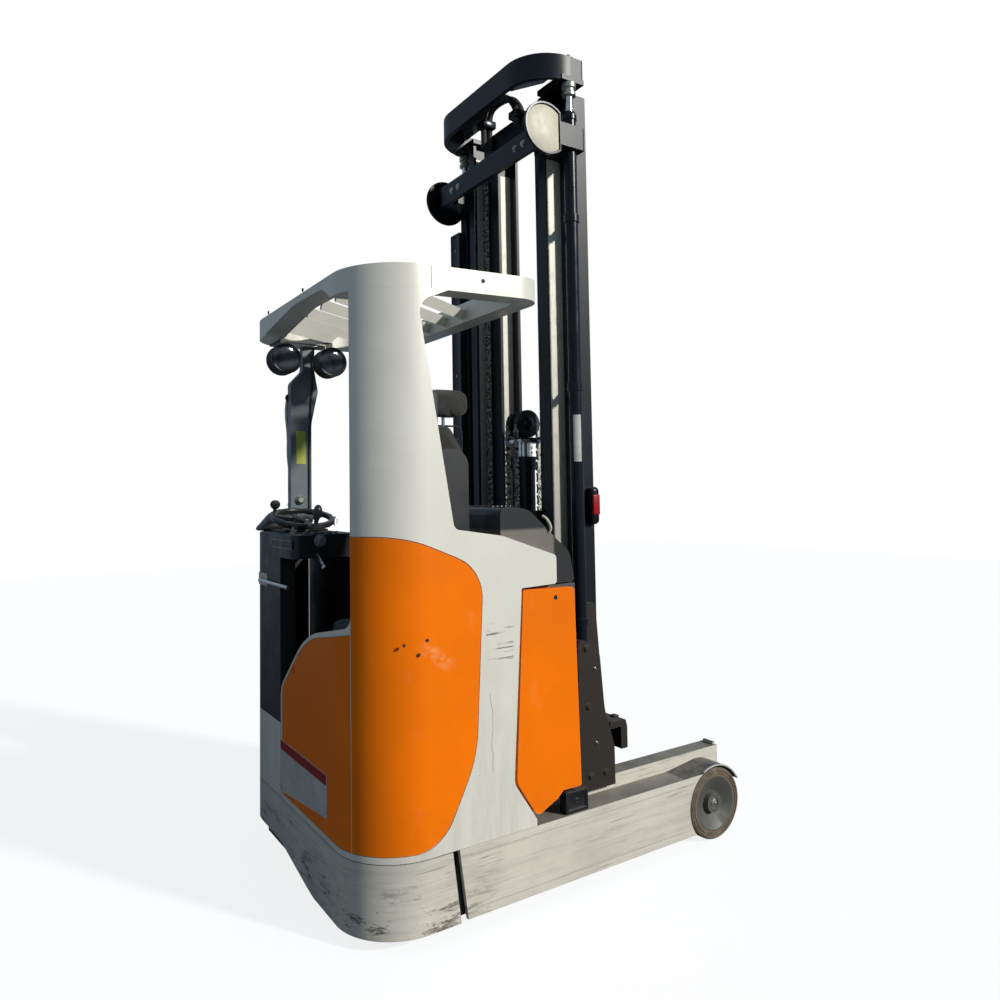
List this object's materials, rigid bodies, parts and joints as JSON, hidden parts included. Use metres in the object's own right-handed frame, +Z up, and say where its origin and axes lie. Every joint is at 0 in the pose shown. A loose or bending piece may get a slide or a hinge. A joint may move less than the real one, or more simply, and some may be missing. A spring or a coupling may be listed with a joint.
{
  "type": "electric reach truck",
  "caption": "Electric reach truck with cantilevered support legs, a side-facing operator's seat, an overhead guard and a three-stage mast that slides out between the legs.",
  "frame": {"origin": "floor level, at the middle of the length and width", "axes": "+X forward from the operator's body towards the mast and load wheels, +Y to the side the operator faces and enters from, +Z up"},
  "size_m": [1.6984, 1.27, 3.25],
  "materials": {
    "truck_silver": "worn satin",
    "cover_silver": "satin",
    "truck_orange": "satin",
    "frame_black": "satin",
    "mast_black": "satin, greasy",
    "mast_brown": "matt",
    "guard_grey": "satin",
    "cover_black": "matt",
    "rubber_black": "matt",
    "seat_cloth": "matt",
    "wheel_tread": "dusty",
    "rim_grey": "dusty",
    "bare_steel": "worn",
    "rod_chrome": "polished",
    "battery_case": "matt"
  },
  "bodies": {
    "chassis": {"chassis_frame": "frame_black", "rear_skirt": "truck_silver", "right_leg": "truck_silver", "left_leg": "truck_silver", "right_fender": "truck_silver", "left_fender": "truck_silver", "right_load_axle": "bare_steel", "left_load_axle": "bare_steel", "battery_block": "battery_case", "battery_hood": "cover_black", "right_battery_cover": "truck_orange", "left_battery_cover": "truck_orange", "right_side_panel": "truck_orange", "rear_panel": "truck_orange", "right_body_shell": "cover_silver", "rear_left_cover": "cover_silver", "left_body_shell": "cover_silver", "operator_floor": "frame_black", "overhead_guard": "truck_silver", "left_guard_post": "guard_grey", "steering_console": "cover_black", "seat_pod": "cover_black", "seat_cushion": "seat_cloth", "seat_backrest": "seat_cloth", "seat_back_shell": "cover_black", "headrest": "seat_cloth", "armrest_console": "cover_black", "pedal_plate": "rubber_black", "rear_work_lamp": "cover_black", "front_work_lamp": "cover_black", "reach_cylinder": "mast_black"},
    "reach_body": {"reach_carriage": "mast_brown", "outer_mast": "mast_black", "right_lift_cylinder": "mast_black", "left_lift_cylinder": "mast_black", "reach_rod": "rod_chrome"},
    "middle_stage": {"middle_mast": "mast_black", "right_lift_rod": "rod_chrome", "left_lift_rod": "rod_chrome"},
    "inner_stage": {"inner_mast": "mast_black", "free_lift_cylinder": "mast_black"},
    "free_lift_piston": {"free_lift_rod": "bare_steel"},
    "fork_lift": {"fork_carriage": "mast_black"},
    "right_load_wheel": {"right_load_tyre": "wheel_tread", "right_load_rim": "rim_grey"},
    "left_load_wheel": {"left_load_tyre": "wheel_tread", "left_load_rim": "rim_grey"},
    "drive_steer": {"drive_turret": "frame_black", "drive_motor": "frame_black"},
    "drive_wheel": {"drive_tyre": "wheel_tread", "drive_hub": "rim_grey"},
    "steering": {"steering_wheel": "cover_black"}
  },
  "joints": [
    {"name": "mast_reach", "type": "slide", "parent": "chassis", "child": "reach_body", "axis": [1, 0, 0], "range_m": [0, 0.55]},
    {"name": "main_lift", "type": "slide", "parent": "reach_body", "child": "middle_stage", "axis": [0, 0, 1], "range_m": [0, 2.2]},
    {"name": "inner_lift", "type": "slide", "parent": "middle_stage", "child": "inner_stage", "axis": [0, 0, 1], "range_m": [0, 2.2]},
    {"name": "fork_raise", "type": "slide", "parent": "inner_stage", "child": "fork_lift", "axis": [0, 0, 1], "range_m": [0, 2.2]},
    {"name": "free_piston", "type": "slide", "parent": "inner_stage", "child": "free_lift_piston", "axis": [0, 0, 1], "range_m": [0, 1.1]},
    {"name": "right_load_spin", "type": "hinge", "parent": "chassis", "child": "right_load_wheel", "pos_m": [0.69975, -0.585, 0.1425], "axis": [0, 1, 0], "continuous": true},
    {"name": "left_load_spin", "type": "hinge", "parent": "chassis", "child": "left_load_wheel", "pos_m": [0.69975, 0.585, 0.1425], "axis": [0, 1, 0], "continuous": true},
    {"name": "drive_steering", "type": "hinge", "parent": "chassis", "child": "drive_steer", "pos_m": [-0.60125, -0.12, 0.372], "axis": [0, 0, 1], "range_deg": [-90, 90]},
    {"name": "drive_spin", "type": "hinge", "parent": "drive_steer", "child": "drive_wheel", "pos_m": [-0.60125, -0.12, 0.1715], "axis": [0, 1, 0], "continuous": true},
    {"name": "steering_turn", "type": "hinge", "parent": "chassis", "child": "steering", "pos_m": [-0.70625, 0.33, 1.345], "axis": [0, -0.2588, 0.9659], "continuous": true}
  ],
  "couplings": [
    {"joint": "inner_lift", "follows": "main_lift", "ratio": 1},
    {"joint": "free_piston", "follows": "fork_raise", "ratio": 0.5}
  ]
}
